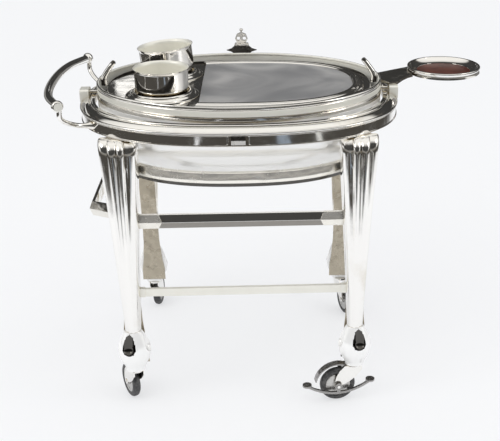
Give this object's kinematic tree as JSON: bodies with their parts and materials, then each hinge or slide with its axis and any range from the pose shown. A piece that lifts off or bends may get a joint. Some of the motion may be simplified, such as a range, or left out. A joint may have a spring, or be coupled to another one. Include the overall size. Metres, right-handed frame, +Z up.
{
  "type": "carving trolley",
  "caption": "Oval silver-plated carving trolley with reeded legs, an open domed cover, a carving plate, gravy cups, a push handle and a plate holder.",
  "frame": {"origin": "on the floor, under the middle of the bounding box", "axes": "+X towards the plate holder, +Y towards the back, +Z up"},
  "size_m": [1.2086, 0.7005, 0.9352],
  "materials": {
    "silver_plate": "polished",
    "dull_plate": "satin",
    "steel": "satin",
    "rubber": "matte",
    "leather": "matte"
  },
  "bodies": {
    "frame": {"top_moulding": "silver_plate", "skirt_band": "silver_plate", "water_pan": "dull_plate", "plate_surround": "silver_plate", "holder_ring": "silver_plate", "foot_front_left": "silver_plate", "foot_rear_right": "silver_plate", "foot_front_right": "silver_plate", "foot_rear_left": "silver_plate", "tray_deck": "silver_plate", "handle_grip": "silver_plate", "well_collar_front": "silver_plate", "well_collar_rear": "silver_plate", "leg_front_left": "silver_plate", "leg_front_right": "silver_plate", "leg_rear_left": "silver_plate", "leg_rear_right": "silver_plate", "skirt_panel_left": "silver_plate", "skirt_panel_right": "silver_plate", "handle_arm_front": "silver_plate", "handle_arm_rear": "silver_plate", "hoop_front": "silver_plate", "hoop_rear": "silver_plate", "horn_left": "silver_plate", "horn_right": "silver_plate", "pivot_block_left": "silver_plate", "pivot_block_right": "silver_plate", "holder_base": "leather", "leg_plate_front_left": "dull_plate", "leg_plate_front_right": "dull_plate", "leg_plate_rear_left": "dull_plate", "leg_plate_rear_right": "dull_plate", "end_rail": "silver_plate", "holder_arm": "silver_plate", "bottom_bar_front": "silver_plate", "pivot_pin_left": "steel", "pivot_pin_right": "steel", "latch_plate": "silver_plate", "mid_bar_front": "silver_plate", "mid_bar_rear": "silver_plate"},
    "dome": {"dome_shell": "silver_plate", "dome_handle": "silver_plate", "dome_knob": "silver_plate"},
    "cup_front": {"cup_front": "silver_plate"},
    "cup_rear": {"cup_rear": "silver_plate"},
    "carving_plate": {"carving_plate": "silver_plate"},
    "yoke_front_left": {"yoke_front_left": "silver_plate"},
    "wheel_front_left": {"wheel_front_left": "rubber"},
    "yoke_front_right": {"yoke_front_right": "silver_plate", "brake_guard": "steel"},
    "wheel_front_right": {"wheel_front_right": "rubber"},
    "yoke_rear_left": {"yoke_rear_left": "silver_plate"},
    "wheel_rear_left": {"wheel_rear_left": "rubber"},
    "yoke_rear_right": {"yoke_rear_right": "silver_plate"},
    "wheel_rear_right": {"wheel_rear_right": "rubber"},
    "brake_pedal": {"brake_pedal": "steel"}
  },
  "joints": [
    {"name": "dome_turn", "type": "hinge", "parent": "frame", "child": "dome", "pos_m": [-0.08675, -0.02202, 0.8272], "axis": [1, 0, 0], "range_deg": [0, 180]},
    {"name": "cup_front_lift", "type": "slide", "parent": "frame", "child": "cup_front", "axis": [0, 0, 1], "range_m": [0, 0.05]},
    {"name": "cup_rear_lift", "type": "slide", "parent": "frame", "child": "cup_rear", "axis": [0, 0, 1], "range_m": [0, 0.05]},
    {"name": "carving_plate_lift", "type": "slide", "parent": "frame", "child": "carving_plate", "axis": [0, 0, 1], "range_m": [0, 0.05]},
    {"name": "swivel_front_left", "type": "hinge", "parent": "frame", "child": "yoke_front_left", "pos_m": [-0.39075, -0.29602, 0.11], "axis": [0, 0, 1], "continuous": true},
    {"name": "roll_front_left", "type": "hinge", "parent": "yoke_front_left", "child": "wheel_front_left", "pos_m": [-0.41329, -0.25364, 0.05], "axis": [-0.8829, -0.4695, 0], "continuous": true},
    {"name": "swivel_front_right", "type": "hinge", "parent": "frame", "child": "yoke_front_right", "pos_m": [0.21725, -0.29602, 0.11], "axis": [0, 0, 1], "continuous": true},
    {"name": "roll_front_right", "type": "hinge", "parent": "yoke_front_right", "child": "wheel_front_right", "pos_m": [0.16972, -0.3027, 0.05], "axis": [0.1392, -0.9903, 0], "continuous": true},
    {"name": "swivel_rear_left", "type": "hinge", "parent": "frame", "child": "yoke_rear_left", "pos_m": [-0.39075, 0.25198, 0.11], "axis": [0, 0, 1], "continuous": true},
    {"name": "roll_rear_left", "type": "hinge", "parent": "yoke_rear_left", "child": "wheel_rear_left", "pos_m": [-0.38573, 0.29972, 0.05], "axis": [-0.9945, 0.1045, 0], "continuous": true},
    {"name": "swivel_rear_right", "type": "hinge", "parent": "frame", "child": "yoke_rear_right", "pos_m": [0.21725, 0.25198, 0.11], "axis": [0, 0, 1], "continuous": true},
    {"name": "roll_rear_right", "type": "hinge", "parent": "yoke_rear_right", "child": "wheel_rear_right", "pos_m": [0.23208, 0.20633, 0.05], "axis": [0.9511, 0.309, 0], "continuous": true},
    {"name": "brake_rock", "type": "hinge", "parent": "yoke_front_right", "child": "brake_pedal", "pos_m": [0.16972, -0.3027, 0.05], "axis": [0.1392, -0.9903, 0], "range_deg": [-8, 8]}
  ]
}
